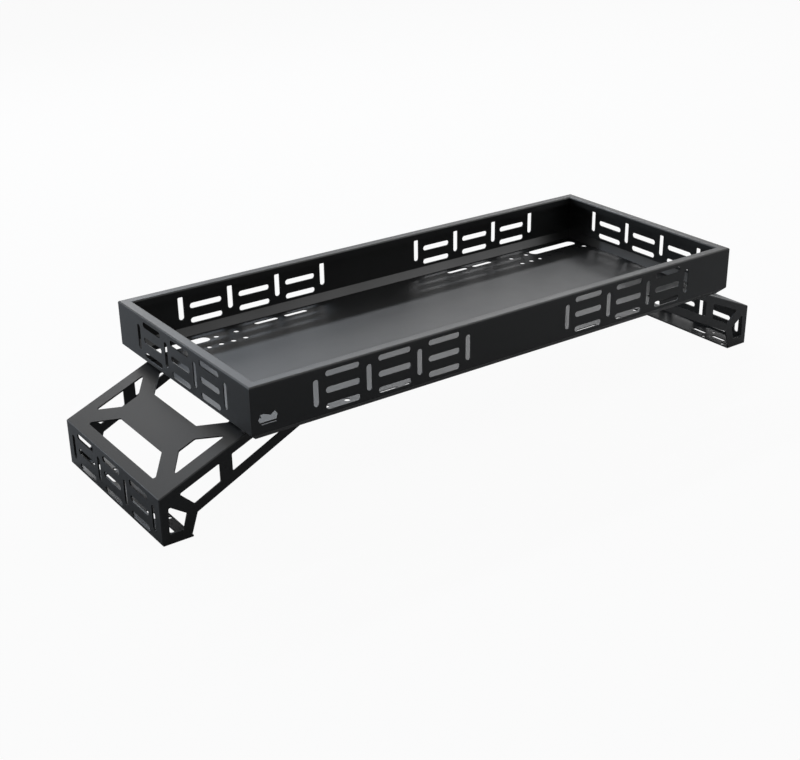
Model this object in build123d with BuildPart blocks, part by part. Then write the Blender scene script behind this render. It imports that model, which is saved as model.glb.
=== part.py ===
"""Overbed cargo rack: a slotted sheet-steel tray carried over a vehicle bed on two legs.

Millimetres. X runs along the tray, Y across it, Z up. The undersides of the
two foot plates lie on Z = 0 and the tray is centred on X = 0, Y = 0.
"""
import math
import os

from build123d import *

os.makedirs("parts", exist_ok=True)

# Sheet steel
tray_sheet = 2.0
sheet = 3.0                 # thickness of the legs
bend = 3.5                  # outer radius of the tray's folds

# Tray: a flat floor, a fold sloping up to each wall, and a flange round the top
tray_length = 1220.0
tray_width = 524.0
tray_bottom = 179.0         # height of the floor's underside above the feet
tray_top = 288.5            # height of the top flange above the feet
wall_height = tray_top - tray_bottom
top_flange = 22.0           # width of the top flange
lip_height = 16.0           # down-turned edge of the top flange
slope_height = 16.0         # rise of the sloped fold from the floor to the wall
slope_width = 16.0
floor_joint = 22.0          # from the tray's outside to the seam between wall and floor

# Slot pattern: upright slots with three level slots stacked between each two
slot_width = 12.0
upright_slot = 53.0
level_slot = 74.0
slot_pitch = 115.3          # between two upright slots
row_pitch = 32.5            # between two level slots
uprights = 4
rows = 3
slot_centre = 240.5         # height of the pattern on the tray
first_slot = 135.0          # tray end to the nearest upright slot of the long walls
group_span = (uprights - 1) * slot_pitch
group_centre = tray_length / 2 - first_slot - group_span / 2

# Floor holes, one set for each quarter of the floor, placed in from the tray's end and its long side
grip_slot = 142.0           # wide slot near the corner, for a hand or a strap
grip_width = 28.0
grip_end = 100.0
grip_side = 49.0
strap_slot = 57.0           # two narrow slots along the long side
strap_width = 13.0
strap_end = 350.5
strap_side = 37.5
strap_pitch = 73.5
small_hole = 12.0
row_end = 190.0             # row of four small holes
row_side = 92.0
row_pitch_x = 28.5
pair_end = 209.5            # two small holes between the row and the long side
pair_side = 51.0
pair_pitch = 47.0
last_hole_end = 28.5        # small hole next to the end wall
large_hole = 22.0           # two large holes between the row and the end wall
large_end = 84.5
large_side = 87.0
large_pitch = 57.0

# Legs
leg_out = 768.0             # centre plane of the tray to the outer face of a leg
leg_width = 402.0
leg_top = 94.5              # height of the leg's outer top edge
slope_rise = 0.425          # rise of the sloped plate per millimetre towards the tray
leg_length = 303.0          # outer face of a leg to the inner end of its landing
leg_slot_centre = 46.0      # height of the slot pattern on the outer plate
foot_width = 61.0           # outer face of a leg to the inner edge of its foot
slope_length_factor = math.hypot(1, slope_rise)
landing_start = leg_out - (tray_bottom - leg_top) / slope_rise
landing_end = leg_out - leg_length
slope_drop = sheet * slope_length_factor
landing_under = landing_start - (slope_drop - sheet) / slope_rise
leg_half = leg_width / 2
facing_up = 0.3             # least Z of the normal of a face that counts as an upper one
edge_reach = 0.1            # how near to a place an edge lies that is picked by it
fold_relief = 0.5           # sheet left inside the rounding of a fold
fold_radius = sheet - fold_relief   # rounding of a leg's outer edges, where its plates fold into each other

# Cut-outs of the sloped plate, measured up the slope from its outer edge
hub_start = 71.0            # the solid middle of the plate starts and ends here
hub_end = 150.0
hub_half = 87.0             # half of its width at the end cut-outs
waist_half = 116.5          # half of its width at the side cut-outs
end_rim = 23.0              # plate left at the outer edge
end_half = 146.0            # half of the width of an end cut-out at its rim
side_rim = 34.0             # plate left at the front and rear edges
side_start = 52.0
side_waist_start = 92.0
pattern_end = hub_start + hub_end   # the cut-outs are mirrored up the slope from here
plate_corner = 4.0          # radius in the corners of the cut-outs

# Side plates, measured inwards from the leg's outer face and up
side_margin = 15.0          # plate left under the sloped plate
strut_start = 123.0         # upright strut between the upper and the middle cut-out
strut_end = 148.5
brace_top = 40.0            # brace between the middle and the lower cut-out
brace_foot = 69.0
keel_rise = 0.487           # rise of the side plate's lower edge per millimetre
keel_start = 72.6           # from the outer face to the foot of the lower edge
keel_start_height = 46.5
keel_margin = 20.0          # height of plate left over the lower edge
toe_out = 15.0              # lower cut-out, its two lower corners
toe_in = 43.0
toe_height = 20.0
toe_top_out = 17.0          # its two upper corners
toe_top_height = 75.0
toe_side_in = 52.0
toe_side_height = 51.0
side_corner = 3.0           # radius in the corners of the cut-outs

# Foot holes: bolt slots and small holes, the same at both ends of the foot
foot_slot = 41.0
foot_slot_width = 10.0
foot_slot_in = 35.0         # from the outer face of the leg
foot_slot_y = 119.0         # middle of the two slots
foot_slot_pitch = 61.0
foot_hole = 10.0
foot_hole_in = 54.0
foot_hole_out = 17.0
foot_hole_y = 118.0
foot_hole_end = 178.0

# Opener cut-out near the front wall's left end
opener_x = -575.0
opener_height = 221.5
opener_corner = 1.5


def slot_pattern(*centres):
    """Slot groups on X (along the wall) and Y (up), one at each of the centres."""
    with BuildSketch() as pattern:
        for centre in centres:
            with Locations((centre, 0)):
                with GridLocations(slot_pitch, 0, uprights, 1):
                    SlotOverall(upright_slot, slot_width, rotation=90)
                with GridLocations(slot_pitch, row_pitch, uprights - 1, rows):
                    SlotOverall(level_slot, slot_width)
    return pattern.sketch


def wall_section():
    """Section of a tray wall on X (inwards) and Y (up), its outer face on X = 0 and the floor's underside on Y = 0."""
    with BuildSketch() as section:
        with BuildLine():
            FilletPolyline(
                (floor_joint, 0),
                (slope_width, 0),
                (0, slope_height),
                (0, wall_height),
                (top_flange, wall_height),
                (top_flange, wall_height - lip_height),
                radius=bend,
            )
            offset(amount=tray_sheet, side=Side.RIGHT)
        make_face()
    return section.sketch


half_length = tray_length / 2
half_width = tray_width / 2
wall_depth = max(top_flange, floor_joint)
profile = wall_section()

# Front wall, and the rear wall as its mirror image before the front wall's own cut-out
with BuildPart() as front_wall:
    with BuildSketch(Plane((-half_length, -half_width, tray_bottom), x_dir=(0, 1, 0), z_dir=(1, 0, 0))):
        add(profile)
    extrude(amount=tray_length)
    with BuildSketch(Plane.XY.offset(tray_bottom)):
        with BuildLine():
            Polyline(
                (-half_length, -half_width),
                (half_length, -half_width),
                (half_length - wall_depth, -half_width + wall_depth),
                (-half_length + wall_depth, -half_width + wall_depth),
                close=True,
            )
        make_face()
    extrude(amount=wall_height, mode=Mode.INTERSECT)
    with BuildSketch(Plane((0, -half_width, slot_centre), x_dir=(1, 0, 0), z_dir=(0, -1, 0))):
        add(slot_pattern(-group_centre, group_centre))
    extrude(amount=-tray_sheet, mode=Mode.SUBTRACT)

with BuildPart() as rear_wall:
    add(mirror(front_wall.part, about=Plane.XZ, mode=Mode.PRIVATE))
rear_wall.part.label = "rear wall"

# The opener's cut-out is in the front wall alone
with front_wall:
    with BuildSketch(Plane((opener_x, -half_width, opener_height), x_dir=(1, 0, 0), z_dir=(0, -1, 0))) as opener:
        with BuildLine():
            Polyline(
                (-20, 0),
                (-15.5, 10.5),
                (-8.5, 10.5),
                (5, 5),
                (14, 11),
                (20, 3),
                (16.5, -10),
                (-14, -10),
                close=True,
            )
        make_face()
        fillet(opener.vertices(), opener_corner)
    extrude(amount=-tray_sheet, mode=Mode.SUBTRACT)
front_wall.part.label = "front wall"

# Right end wall, and the left one as its mirror image
with BuildPart() as right_end_wall:
    with BuildSketch(Plane((half_length, -half_width, tray_bottom), x_dir=(-1, 0, 0), z_dir=(0, 1, 0))):
        add(profile)
    extrude(amount=tray_width)
    with BuildSketch(Plane.XY.offset(tray_bottom)):
        with BuildLine():
            Polyline(
                (half_length, -half_width),
                (half_length, half_width),
                (half_length - wall_depth, half_width - wall_depth),
                (half_length - wall_depth, -half_width + wall_depth),
                close=True,
            )
        make_face()
    extrude(amount=wall_height, mode=Mode.INTERSECT)
    with BuildSketch(Plane((half_length, 0, slot_centre), x_dir=(0, 1, 0), z_dir=(1, 0, 0))):
        add(slot_pattern(0))
    extrude(amount=-tray_sheet, mode=Mode.SUBTRACT)
right_end_wall.part.label = "right end wall"

with BuildPart() as left_end_wall:
    add(mirror(right_end_wall.part, about=Plane.YZ, mode=Mode.PRIVATE))
left_end_wall.part.label = "left end wall"

# Floor: a flat sheet between the walls' lower edges, its holes alike in the four quarters
with BuildPart() as floor_pan:
    with BuildSketch(Plane.XY.offset(tray_bottom)):
        Rectangle(tray_length - 2 * floor_joint, tray_width - 2 * floor_joint)
    extrude(amount=tray_sheet)
    with BuildSketch(Plane.XY.offset(tray_bottom)) as quarter:
        with Locations((half_length - grip_end, half_width - grip_side)):
            SlotOverall(grip_slot, grip_width)
        with Locations((half_length - strap_end, half_width - strap_side)):
            with GridLocations(strap_pitch, 0, 2, 1):
                SlotOverall(strap_slot, strap_width)
        with Locations((half_length - row_end, half_width - row_side)):
            with GridLocations(row_pitch_x, 0, 4, 1):
                Circle(small_hole / 2)
        with Locations((half_length - pair_end, half_width - pair_side)):
            with GridLocations(pair_pitch, 0, 2, 1):
                Circle(small_hole / 2)
        with Locations((half_length - last_hole_end, half_width - large_side)):
            Circle(small_hole / 2)
        with Locations((half_length - large_end, half_width - large_side)):
            with GridLocations(large_pitch, 0, 2, 1):
                Circle(large_hole / 2)
        mirror(about=Plane.XZ)
        mirror(about=Plane.YZ)
    extrude(amount=tray_sheet, mode=Mode.SUBTRACT)
floor_pan.part.label = "floor pan"

# Leg plates: the right leg, mirrored for the left one
with BuildPart() as top_plate:
    with BuildSketch(Plane.XZ.offset(-leg_half)) as leg_section:
        with BuildLine():
            Polyline(
                (leg_out, leg_top),
                (landing_start, tray_bottom),
                (landing_end, tray_bottom),
                (landing_end, tray_bottom - sheet),
                (landing_under, tray_bottom - sheet),
                (leg_out, leg_top - slope_drop),
                close=True,
            )
        make_face()
        fillet(leg_section.vertices().group_by(Axis.X)[-1].sort_by(Axis.Y)[-1], fold_radius)
    extrude(amount=leg_width)
    upper_edges = top_plate.faces().filter_by(lambda face: face.normal_at().Z > facing_up).edges()
    for side in (-1, 1):
        rim = side * leg_half
        fillet(upper_edges.filter_by_position(Axis.Y, rim - edge_reach, rim + edge_reach), fold_radius)
    slope = Plane((leg_out, 0, leg_top), x_dir=(-1, 0, slope_rise), z_dir=(slope_rise, 0, 1))
    with BuildSketch(slope) as cut_outs:
        with BuildLine():
            Polyline(
                (end_rim, -end_half),
                (hub_start, -hub_half),
                (hub_start, hub_half),
                (end_rim, end_half),
                close=True,
            )
        make_face()
        with BuildLine():
            Polyline(
                (pattern_end - end_rim, -end_half),
                (hub_end, -hub_half),
                (hub_end, hub_half),
                (pattern_end - end_rim, end_half),
                close=True,
            )
        make_face()
        for side in (-1, 1):
            with BuildLine():
                Polyline(
                    (side_start, side * (leg_half - side_rim)),
                    (side_waist_start, side * waist_half),
                    (pattern_end - side_waist_start, side * waist_half),
                    (pattern_end - side_start, side * (leg_half - side_rim)),
                    close=True,
                )
            make_face()
        fillet(cut_outs.vertices(), plate_corner)
    extrude(amount=-2 * sheet, mode=Mode.SUBTRACT)
top_plate.part.label = "top plate"

with BuildPart() as outer_plate:
    with BuildSketch(Plane.YZ.offset(leg_out)):
        with Locations((0, (leg_top - slope_drop) / 2)):
            Rectangle(leg_width, leg_top - slope_drop)
    extrude(amount=-sheet)
    outer_face = outer_plate.faces().sort_by(Axis.X)[-1]
    folds = outer_face.edges().filter_by(Axis.Z) + outer_face.edges().filter_by(Axis.Y).sort_by(Axis.Z)[:1]
    fillet(folds, fold_radius)
    with BuildSketch(Plane((leg_out, 0, leg_slot_centre), x_dir=(0, 1, 0), z_dir=(1, 0, 0))):
        add(slot_pattern(0))
    extrude(amount=-sheet, mode=Mode.SUBTRACT)
outer_plate.part.label = "outer plate"


def under_slope(inwards, drop=0.0):
    """Height of the sloped plate's underside, less a drop, that far inwards of the outer face."""
    return leg_top - slope_drop + slope_rise * inwards - drop


def over_keel(inwards, rise=0.0):
    """Height of the side plate's lower edge, plus a rise, that far inwards of the outer face."""
    return keel_start_height + keel_rise * (inwards - keel_start) + rise


with BuildPart() as front_side_plate:
    with BuildSketch(Plane.XZ.offset(leg_half)):
        with BuildLine():
            Polyline(
                (leg_out - sheet, sheet),
                (leg_out - sheet, under_slope(sheet)),
                (landing_under, tray_bottom - sheet),
                (landing_end, tray_bottom - sheet),
                (landing_end, over_keel(leg_length)),
                (leg_out - keel_start, keel_start_height),
                (leg_out - foot_width + sheet, sheet),
                close=True,
            )
        make_face()
    extrude(amount=-sheet)
    with BuildSketch(Plane.XZ.offset(leg_half)) as cut_outs:
        landing_top = tray_bottom - sheet - side_margin
        upper_tip = keel_start + (landing_top - keel_margin - keel_start_height) / keel_rise
        with BuildLine():
            Polyline(
                (leg_out - strut_end, over_keel(strut_end, keel_margin)),
                (leg_out - strut_end, under_slope(strut_end, side_margin)),
                (landing_under, landing_top),
                (leg_out - upper_tip, landing_top),
                close=True,
            )
        make_face()
        with BuildLine():
            Polyline(
                (leg_out - strut_start, over_keel(strut_start, keel_margin)),
                (leg_out - strut_start, under_slope(strut_start, side_margin)),
                (leg_out - brace_top, under_slope(brace_top, side_margin)),
                (leg_out - brace_foot, over_keel(brace_foot, keel_margin)),
                close=True,
            )
        make_face()
        with BuildLine():
            Polyline(
                (leg_out - toe_top_out, toe_top_height),
                (leg_out - toe_side_in, toe_side_height),
                (leg_out - toe_in, toe_height),
                (leg_out - toe_out, toe_height),
                close=True,
            )
        make_face()
        fillet(cut_outs.vertices(), side_corner)
    extrude(amount=-sheet, mode=Mode.SUBTRACT)
front_side_plate.part.label = "front side plate"

with BuildPart() as rear_side_plate:
    add(mirror(front_side_plate.part, about=Plane.XZ, mode=Mode.PRIVATE))
rear_side_plate.part.label = "rear side plate"

with BuildPart() as foot_plate:
    with BuildSketch():
        with Locations((leg_out - (foot_width + sheet) / 2, 0)):
            Rectangle(foot_width - sheet, leg_width)
        for side in (-1, 1):
            with Locations((leg_out - foot_slot_in, side * foot_slot_y)):
                with GridLocations(0, foot_slot_pitch, 1, 2):
                    SlotOverall(foot_slot, foot_slot_width, rotation=90, mode=Mode.SUBTRACT)
            with Locations((leg_out - foot_hole_in, side * foot_hole_y)):
                Circle(foot_hole / 2, mode=Mode.SUBTRACT)
            with Locations((leg_out - foot_hole_out, side * foot_hole_y)):
                Circle(foot_hole / 2, mode=Mode.SUBTRACT)
            with Locations((leg_out - foot_hole_in, side * foot_hole_end)):
                Circle(foot_hole / 2, mode=Mode.SUBTRACT)
    extrude(amount=sheet)
foot_plate.part.label = "foot plate"

export_step(front_wall.part, "parts/front_wall.step")
export_step(rear_wall.part, "parts/rear_wall.step")
export_step(left_end_wall.part, "parts/left_end_wall.step")
export_step(right_end_wall.part, "parts/right_end_wall.step")
export_step(floor_pan.part, "parts/floor_pan.step")

leg_plates = {
    "top_plate": top_plate.part,
    "outer_plate": outer_plate.part,
    "front_side_plate": front_side_plate.part,
    "rear_side_plate": rear_side_plate.part,
    "foot_plate": foot_plate.part,
}
for name, plate in leg_plates.items():
    plain_label = plate.label
    left_plate = mirror(plate, about=Plane.YZ)
    left_plate.label = f"left leg {plain_label}"
    export_step(left_plate, f"parts/left_leg_{name}.step")
    plate.label = f"right leg {plain_label}"
    export_step(plate, f"parts/right_leg_{name}.step")
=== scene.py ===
"""Looks of the overbed cargo rack: powder-coated sheet steel in a white studio."""
import math

import bpy
from mathutils import Matrix, Vector


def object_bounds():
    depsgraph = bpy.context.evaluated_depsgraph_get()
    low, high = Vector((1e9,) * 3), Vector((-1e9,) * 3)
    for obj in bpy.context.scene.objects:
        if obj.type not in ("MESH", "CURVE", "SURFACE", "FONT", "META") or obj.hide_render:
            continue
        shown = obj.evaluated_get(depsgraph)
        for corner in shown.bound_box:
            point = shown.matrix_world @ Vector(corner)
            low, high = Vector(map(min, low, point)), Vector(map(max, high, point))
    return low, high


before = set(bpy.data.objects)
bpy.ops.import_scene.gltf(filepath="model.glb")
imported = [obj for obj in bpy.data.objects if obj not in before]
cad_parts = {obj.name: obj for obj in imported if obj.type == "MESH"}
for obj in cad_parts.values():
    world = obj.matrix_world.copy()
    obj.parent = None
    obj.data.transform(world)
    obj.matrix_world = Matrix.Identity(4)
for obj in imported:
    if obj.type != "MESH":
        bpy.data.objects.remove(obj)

bl_info = {
    "name": "Overbed cargo rack looks",
    "version": (1, 0, 0),
    "blender": (4, 5, 0),
    "location": "View3D > Sidebar > Rack",
    "description": "Satin black coats and a white studio for a slotted sheet-steel cargo rack",
    "category": "Object",
}

MM = 0.001
CAD_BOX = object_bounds()

WALLS = ("front_wall", "rear_wall", "left_end_wall", "right_end_wall")
FLOOR = ("floor_pan",)
LEG_PLATES = ("top_plate", "outer_plate", "front_side_plate", "rear_side_plate", "foot_plate")
LEGS = tuple(f"{side}_leg_{plate}" for side in ("left", "right") for plate in LEG_PLATES)

BLACK = "#0c0d0e"
WHITE = (1.0, 1.0, 1.0, 1.0)

# Index of refraction of the coat, a little under the 1.5 of a plain polyester resin
COAT_IOR = 1.45
# Width in millimetres of the pigment's grit, drawn coarser than its real tenth so that it shows,
# and the grit's two tones as multiples of the coat's colour
GRIT_SIZE = 0.9
GRIT_DARK, GRIT_LIGHT = 0.8, 1.25
# Width in millimetres of the gloss's clouds, the part of their noise that is used, and how far
# they take the roughness down and up
CLOUD_SIZE = 140
CLOUD_LOW, CLOUD_HIGH = 0.3, 0.7
CLOUD_DROP, CLOUD_RISE = 0.03, 0.04
# Colour sockets of the mix node: two inputs and the output
MIX_FIRST, MIX_SECOND, MIX_RESULT = 6, 7, 2

# Side of the studio's floor, and how far it lies under the feet, in metres
STAGE_SIZE = 30.0
STAGE_DROP = 0.0002

# Soft boxes: name, place, target, width along X and height in metres, setting that holds the
# power, share of that power, and sRGB colour
LAMPS = (
    # Strips whose glare the level faces throw to the camera
    ("left_strip", (0.6, 3.2, 3.1), (0.6, 0.13, 0.18), 1.8, 0.25, "strip_power", 0.46, "#dcecff"),
    ("right_strip", (2.9, 3.2, 3.1), (2.9, 0.13, 0.18), 2.8, 0.25, "strip_power", 0.54, "#fcfdff"),
    # Brightens the left leg's slope and the near flanges
    ("low_lamp", (0.2, 3.6, 2.0), (0.0, 0.0, 0.2), 1.6, 0.8, "low_power", 1.0, "#ffffff"),
    # Lights the floor that the left faces mirror
    ("side_lamp", (-3.0, 2.5, 1.2), (-1.2, 0.6, 0.0), 1.2, 1.0, "side_power", 1.0, "#e4f1ff"),
    # Lights the slope below the rear wall and the front faces
    ("top_lamp", (1.9, -1.2, 2.4), (0.0, 0.1, 0.15), 2.0, 1.2, "top_power", 1.0, "#ffffff"),
)

# Camera of the photograph: place in metres, turns in degrees, sensor and lens in millimetres,
# shift in widths of the picture, and the depth that it sees in metres
CAMERA_PLACE = (-1.609021, -2.126419, 1.260683)
CAMERA_YAW = 37.133
CAMERA_PITCH = -24.170
CAMERA_ROLL = -0.073
CAMERA_SENSOR = 36.0
CAMERA_LENS = 60.331
CAMERA_SHIFT = (-0.05, -0.0125)
CAMERA_DEPTH = 60.0


def linear(hex_colour):
    """sRGB hex colour as linear RGBA, by the curve of the sRGB standard."""
    channels = []
    for i in (1, 3, 5):
        value = int(hex_colour[i:i + 2], 16) / 255
        channels.append(value / 12.92 if value <= 0.04045 else ((value + 0.055) / 1.055) ** 2.4)
    return (*channels, 1.0)


def node(tree, kind, links=None, **settings):
    """Adds a node, sets its properties and inputs, and links sockets into it.

    A setting is a property of the node, or else an input, with _ for the spaces of its name.
    links gives the socket that feeds an input, by the input's name or number.
    """
    made = tree.nodes.new(kind)
    for name, value in settings.items():
        if hasattr(made, name):
            setattr(made, name, value)
        else:
            made.inputs[name.replace("_", " ")].default_value = value
    for name, source in (links or {}).items():
        tree.links.new(source, made.inputs[name])
    return made


def new_material(name):
    """An empty node material and its tree."""
    made = bpy.data.materials.new(name)
    made.use_nodes = True
    made.node_tree.nodes.clear()
    return made, made.node_tree


def powder_coat(name, colour, roughness, peel_size, peel_height):
    """Polyester powder coat on sheet steel: satin, with a slight orange peel and uneven gloss.

    The sizes are the width and height in millimetres of the peel's waves.
    """
    made, tree = new_material(name)
    place = node(tree, "ShaderNodeTexCoord")
    peel = node(tree, "ShaderNodeTexNoise", {"Vector": place.outputs["Object"]},
                Scale=1 / (peel_size * MM), Detail=2.0, Roughness=0.55)
    grit = node(tree, "ShaderNodeTexNoise", {"Vector": place.outputs["Object"]},
                Scale=1 / (GRIT_SIZE * MM), Detail=1.0)
    # Cloudy change of gloss over a hand's width, as an oven-baked coat has
    cloud = node(tree, "ShaderNodeTexNoise", {"Vector": place.outputs["Object"]},
                 Scale=1 / (CLOUD_SIZE * MM), Detail=3.0, Roughness=0.6)
    gloss = node(tree, "ShaderNodeMapRange", {"Value": cloud.outputs["Fac"]},
                 From_Min=CLOUD_LOW, From_Max=CLOUD_HIGH,
                 To_Min=roughness - CLOUD_DROP, To_Max=roughness + CLOUD_RISE)
    tone = node(tree, "ShaderNodeMix", {"Factor": grit.outputs["Fac"]}, data_type="RGBA")
    base = linear(colour)[:3]
    tone.inputs[MIX_FIRST].default_value = (*(GRIT_DARK * c for c in base), 1.0)
    tone.inputs[MIX_SECOND].default_value = (*(GRIT_LIGHT * c for c in base), 1.0)
    waves = node(tree, "ShaderNodeBump", {"Height": peel.outputs["Fac"]},
                 Strength=1.0, Distance=peel_height * MM)
    shader = node(tree, "ShaderNodeBsdfPrincipled",
                  {"Base Color": tone.outputs[MIX_RESULT], "Roughness": gloss.outputs["Result"],
                   "Normal": waves.outputs["Normal"]},
                  IOR=COAT_IOR)
    node(tree, "ShaderNodeOutputMaterial", {"Surface": shader.outputs["BSDF"]})
    return made


def coat(names, material):
    """Gives CAD nodes their finish."""
    for name in names:
        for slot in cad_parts[name].material_slots:
            slot.link = "OBJECT"
            slot.material = material


def matt_white(name, colour, share, gloss_share):
    """Matt white paint, mostly its own white when seen, so that it stays pale under plain lamps.

    share is that part for what the camera sees. gloss_share is the part for what shines on the
    rack: it is low, as the photo's front faces mirror the dark of the rack's own shadow.
    """
    made, tree = new_material(name)
    paint = node(tree, "ShaderNodeBsdfDiffuse", Color=linear(colour))
    white = node(tree, "ShaderNodeEmission", Color=WHITE, Strength=1.0)
    path = node(tree, "ShaderNodeLightPath")
    direct = node(tree, "ShaderNodeMath",
                  {0: path.outputs["Is Camera Ray"], 1: path.outputs["Is Transmission Ray"]},
                  operation="MAXIMUM")
    seen = node(tree, "ShaderNodeMapRange", {"Value": direct.outputs["Value"]}, To_Max=share)
    shine = node(tree, "ShaderNodeMapRange", {"Value": path.outputs["Is Glossy Ray"]},
                 To_Max=gloss_share)
    part = node(tree, "ShaderNodeMath", {0: seen.outputs["Result"], 1: shine.outputs["Result"]},
                operation="MAXIMUM")
    mix = node(tree, "ShaderNodeMixShader",
               {0: part.outputs["Value"], 1: paint.outputs["BSDF"], 2: white.outputs["Emission"]})
    node(tree, "ShaderNodeOutputMaterial", {"Surface": mix.outputs["Shader"]})
    return made


def lay_floor(settings):
    """The studio's floor, just under the feet."""
    bpy.ops.mesh.primitive_plane_add(size=STAGE_SIZE,
                                     location=(0.0, 0.0, CAD_BOX[0][2] - STAGE_DROP))
    floor = bpy.context.active_object
    floor.name = "studio_floor"
    bpy.ops.object.transform_apply(location=True, rotation=True, scale=True)
    floor.data.materials.append(matt_white("studio_white_paint", settings.floor_colour,
                                           settings.white_share, settings.gloss_share))


def light_sky(settings):
    """A world that is white where it is seen or mirrored, and gives little light itself."""
    world = bpy.data.worlds.new("studio_sky")
    bpy.context.scene.world = world
    world.use_nodes = True
    tree = world.node_tree
    tree.nodes.clear()
    path = node(tree, "ShaderNodeLightPath")
    direct = node(tree, "ShaderNodeMath",
                  {0: path.outputs["Is Camera Ray"], 1: path.outputs["Is Transmission Ray"]},
                  operation="MAXIMUM")
    seen = node(tree, "ShaderNodeMath",
                {0: direct.outputs["Value"], 1: path.outputs["Is Glossy Ray"]},
                operation="MAXIMUM")
    level = node(tree, "ShaderNodeMapRange", {"Value": seen.outputs["Value"]},
                 To_Min=settings.sky, To_Max=1.0)
    sky = node(tree, "ShaderNodeBackground", {"Strength": level.outputs["Result"]}, Color=WHITE)
    node(tree, "ShaderNodeOutputWorld", {"Surface": sky.outputs["Background"]})


def set_up(name, data, place, axes):
    """Adds a lamp or a camera to the scene. axes are the directions of its own X, Y and Z."""
    made = bpy.data.objects.new(name, data)
    bpy.context.scene.collection.objects.link(made)
    made.matrix_world = Matrix.Translation(place) @ Matrix(axes).transposed().to_4x4()
    return made


def hang_lamp(name, place, target, width, height, power, colour):
    """A soft box of that width along X, facing the target."""
    light = bpy.data.lights.new(name, "AREA")
    light.color = linear(colour)[:3]
    light.shape = "RECTANGLE"
    light.size = width
    light.size_y = height
    light.energy = power
    back = (Vector(place) - Vector(target)).normalized()
    upright = back.cross(Vector((1.0, 0.0, 0.0))).normalized()
    set_up(name, light, place, (upright.cross(back), upright, back))


def stand_camera():
    """The camera at the photograph's viewpoint."""
    camera = bpy.data.cameras.new("studio_camera")
    camera.sensor_fit = "HORIZONTAL"
    camera.sensor_width = CAMERA_SENSOR
    camera.lens = CAMERA_LENS
    camera.shift_x, camera.shift_y = CAMERA_SHIFT
    camera.clip_end = CAMERA_DEPTH
    yaw, pitch, roll = (math.radians(turn) for turn in (CAMERA_YAW, CAMERA_PITCH, CAMERA_ROLL))
    forward = Vector((math.sin(yaw) * math.cos(pitch), math.cos(yaw) * math.cos(pitch),
                      math.sin(pitch)))
    level_right = Vector((math.cos(yaw), -math.sin(yaw), 0.0))
    up = level_right.cross(forward)
    right = math.cos(roll) * level_right + math.sin(roll) * up
    upright = math.cos(roll) * up - math.sin(roll) * level_right
    bpy.context.scene.camera = set_up("studio_camera", camera, CAMERA_PLACE,
                                      (right, upright, -forward))


class RackCoatSettings(bpy.types.PropertyGroup):
    """Finish of the steel."""

    tray_colour: bpy.props.StringProperty(
        name="Tray colour", description="sRGB colour of the walls", default=BLACK)
    floor_colour: bpy.props.StringProperty(
        name="Floor colour", description="sRGB colour of the floor", default=BLACK)
    leg_colour: bpy.props.StringProperty(
        name="Leg colour", description="sRGB colour of the legs", default=BLACK)
    roughness: bpy.props.FloatProperty(
        name="Roughness", description="Roughness of the satin coat",
        default=0.38, min=0.05, max=1.0, subtype="FACTOR")
    peel_size: bpy.props.FloatProperty(
        name="Peel size", description="Width of the orange peel's waves in millimetres",
        default=3.0, min=0.5, max=20.0)
    peel_height: bpy.props.FloatProperty(
        name="Peel height", description="Height of the waves in millimetres",
        default=0.05, min=0.0, max=1.0)


class RackStageSettings(bpy.types.PropertyGroup):
    """White studio round the rack."""

    floor_colour: bpy.props.StringProperty(
        name="Floor colour", description="sRGB colour of the floor", default="#f4f4f4")
    white_share: bpy.props.FloatProperty(
        name="White share", description="Part of the floor's look that is plain white",
        default=0.95, min=0.0, max=1.0)
    gloss_share: bpy.props.FloatProperty(
        name="Gloss share", description="The same part, as it shines on the rack",
        default=0.04, min=0.0, max=1.0)
    sky: bpy.props.FloatProperty(
        name="Sky", description="Strength of the light from all round", default=0.03, min=0.0)
    strip_power: bpy.props.FloatProperty(
        name="Strip power", description="Power of the two strip boxes high behind, together",
        default=80.0, min=0.0, unit="POWER")
    low_power: bpy.props.FloatProperty(
        name="Low power", description="Power of the soft box low behind",
        default=18.0, min=0.0, unit="POWER")
    side_power: bpy.props.FloatProperty(
        name="Side power", description="Power of the soft box at the left",
        default=37.0, min=0.0, unit="POWER")
    top_power: bpy.props.FloatProperty(
        name="Top power", description="Power of the soft box above the front",
        default=18.0, min=0.0, unit="POWER")


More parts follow.
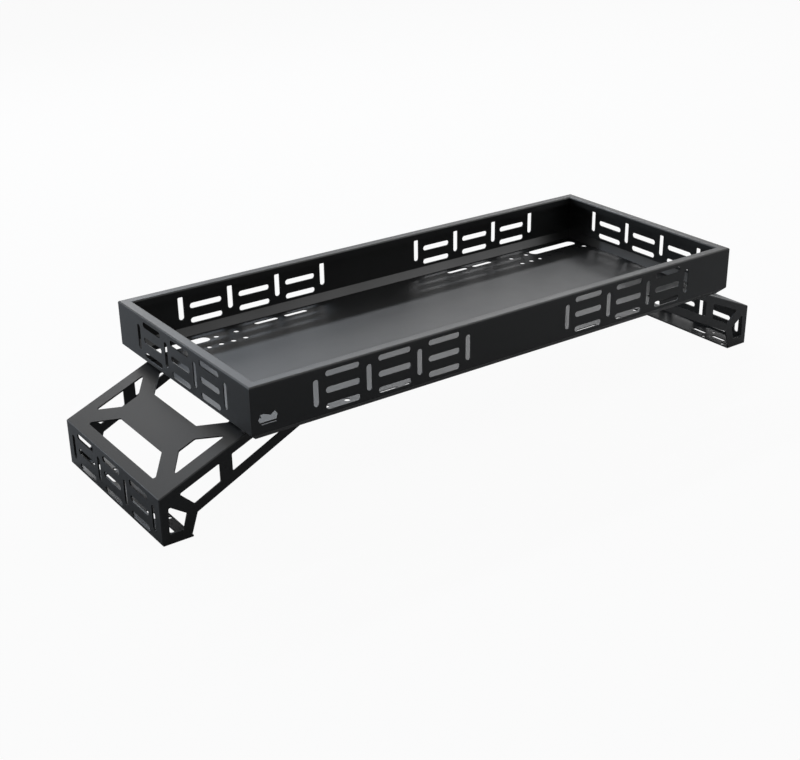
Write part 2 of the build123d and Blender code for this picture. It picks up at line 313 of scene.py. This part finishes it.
class OBJECT_OT_rack_coat(bpy.types.Operator):
    """Coats the rack's sheet steel in satin black"""

    bl_idname = "object.rack_coat"
    bl_label = "Coat the steel"

    def execute(self, context):
        settings = context.scene.rack_coat
        for names, slot, colour in (
            (WALLS, "tray_coat", settings.tray_colour),
            (FLOOR, "floor_coat", settings.floor_colour),
            (LEGS, "leg_coat", settings.leg_colour),
        ):
            coat(names, powder_coat(f"satin_black_{slot}", colour, settings.roughness,
                                    settings.peel_size, settings.peel_height))
        return {"FINISHED"}


class SCENE_OT_rack_stage(bpy.types.Operator):
    """Sets the white floor, the sky, the lamps and the camera"""

    bl_idname = "scene.rack_stage"
    bl_label = "Set the stage"

    def execute(self, context):
        settings = context.scene.rack_stage
        context.scene.view_settings.view_transform = "Standard"
        for made in context.selected_objects:
            made.select_set(False)
        lay_floor(settings)
        light_sky(settings)
        for name, place, target, width, height, setting, share, colour in LAMPS:
            power = share * getattr(settings, setting)
            hang_lamp(name, place, target, width, height, power, colour)
        stand_camera()
        return {"FINISHED"}


class VIEW3D_PT_rack(bpy.types.Panel):
    """Buttons for each group of the rack's looks"""

    bl_idname = "VIEW3D_PT_rack"
    bl_label = "Cargo rack"
    bl_space_type = "VIEW_3D"
    bl_region_type = "UI"
    bl_category = "Rack"

    def draw(self, context):
        for settings in (context.scene.rack_coat, context.scene.rack_stage):
            box = self.layout.box()
            for name in settings.bl_rna.properties.keys():
                if name not in ("rna_type", "name"):
                    box.prop(settings, name)
        self.layout.operator("object.rack_coat")
        self.layout.operator("scene.rack_stage")


CLASSES = (RackCoatSettings, RackStageSettings, OBJECT_OT_rack_coat, SCENE_OT_rack_stage,
           VIEW3D_PT_rack)


def register():
    for entry in CLASSES:
        bpy.utils.register_class(entry)
    bpy.types.Scene.rack_coat = bpy.props.PointerProperty(type=RackCoatSettings)
    bpy.types.Scene.rack_stage = bpy.props.PointerProperty(type=RackStageSettings)


def unregister():
    del bpy.types.Scene.rack_stage
    del bpy.types.Scene.rack_coat
    for entry in reversed(CLASSES):
        bpy.utils.unregister_class(entry)


def main():
    register()
    bpy.ops.object.rack_coat()
    bpy.ops.scene.rack_stage()


if __name__ == "__main__":
    main()
